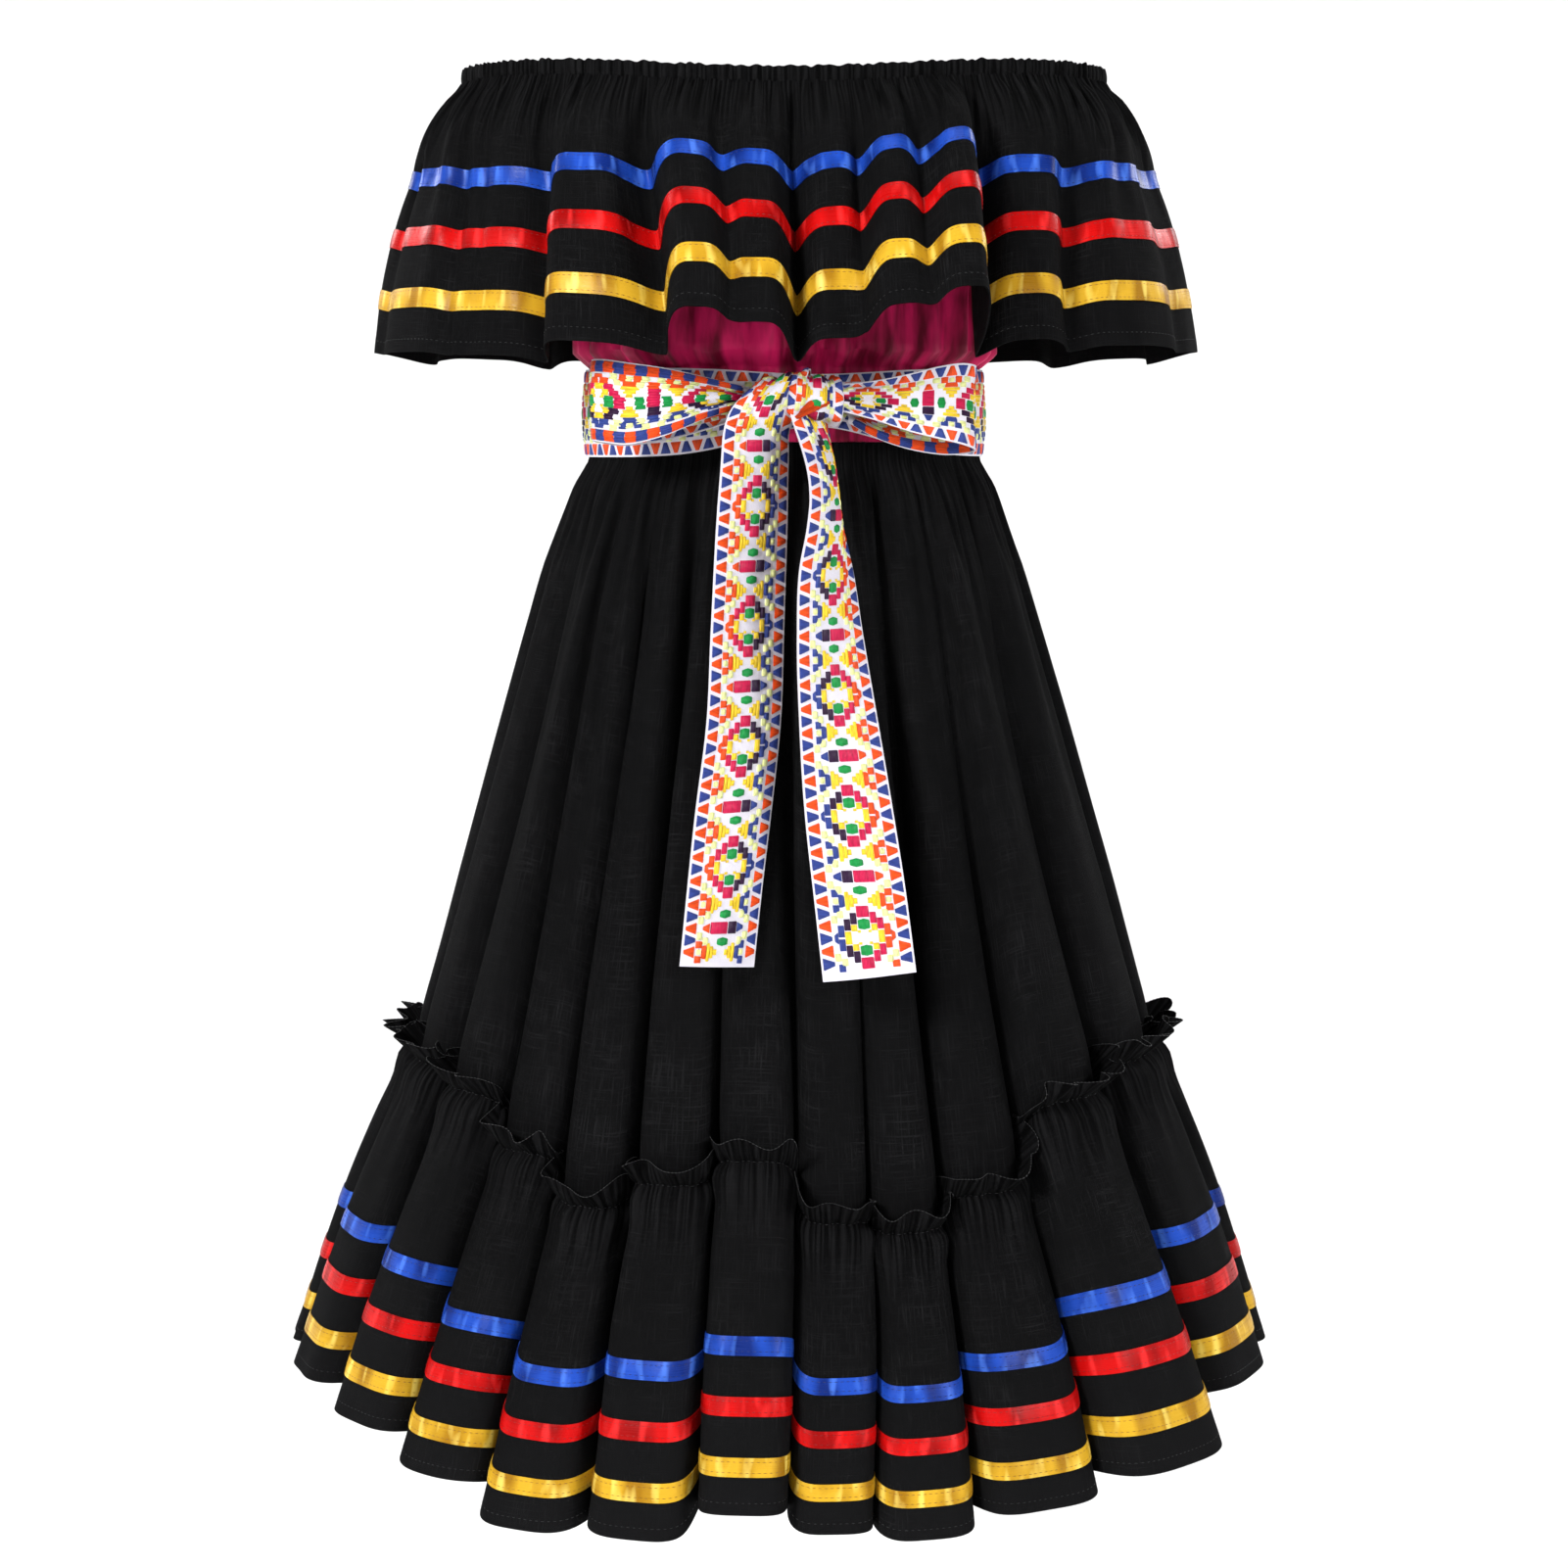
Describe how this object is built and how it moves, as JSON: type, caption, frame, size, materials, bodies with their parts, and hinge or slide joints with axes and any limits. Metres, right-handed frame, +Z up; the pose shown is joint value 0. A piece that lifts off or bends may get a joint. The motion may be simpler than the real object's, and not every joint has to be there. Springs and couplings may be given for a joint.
{
  "type": "girl's off-the-shoulder folk dress with a ribboned flounce collar, gathered skirt and tied sash",
  "caption": "Hollow worn girl's dress: elastic neckline with a wide flounce collar, bodice, gathered skirt with a hem flounce, satin ribbons and a woven sash tied in a bow.",
  "frame": {"origin": "middle of the neckline opening, level with its top edge; the body that wears the dress holds it there", "axes": "+Z up, -Y the front of the dress, +X the wearer's left"},
  "size_m": [0.585, 0.4706, 0.7948],
  "materials": {
    "black_cotton": "matt slub cotton voile",
    "magenta_cotton": "matt crinkled cotton",
    "blue_satin": "glossy satin ribbon, edge stitched",
    "red_satin": "glossy satin ribbon, edge stitched",
    "yellow_satin": "glossy satin ribbon, edge stitched",
    "woven_sash": "white woven band with raised multicoloured threads"
  },
  "bodies": {
    "root": {"neck_casing": "black_cotton", "collar_flounce_front": "black_cotton", "collar_flounce_back": "black_cotton", "bodice_front": "magenta_cotton", "bodice_back": "magenta_cotton", "skirt_front": "black_cotton", "skirt_back": "black_cotton", "hem_flounce_front": "black_cotton", "hem_flounce_back": "black_cotton", "sash_band": "woven_sash", "sash_loop_left": "woven_sash", "sash_loop_right": "woven_sash", "sash_knot": "woven_sash", "sash_tail_left": "woven_sash", "sash_tail_right": "woven_sash", "collar_ribbon_blue": "blue_satin", "collar_ribbon_red": "red_satin", "collar_ribbon_yellow": "yellow_satin", "hem_ribbon_blue": "blue_satin", "hem_ribbon_red": "red_satin", "hem_ribbon_yellow": "yellow_satin"}
  },
  "joints": []
}
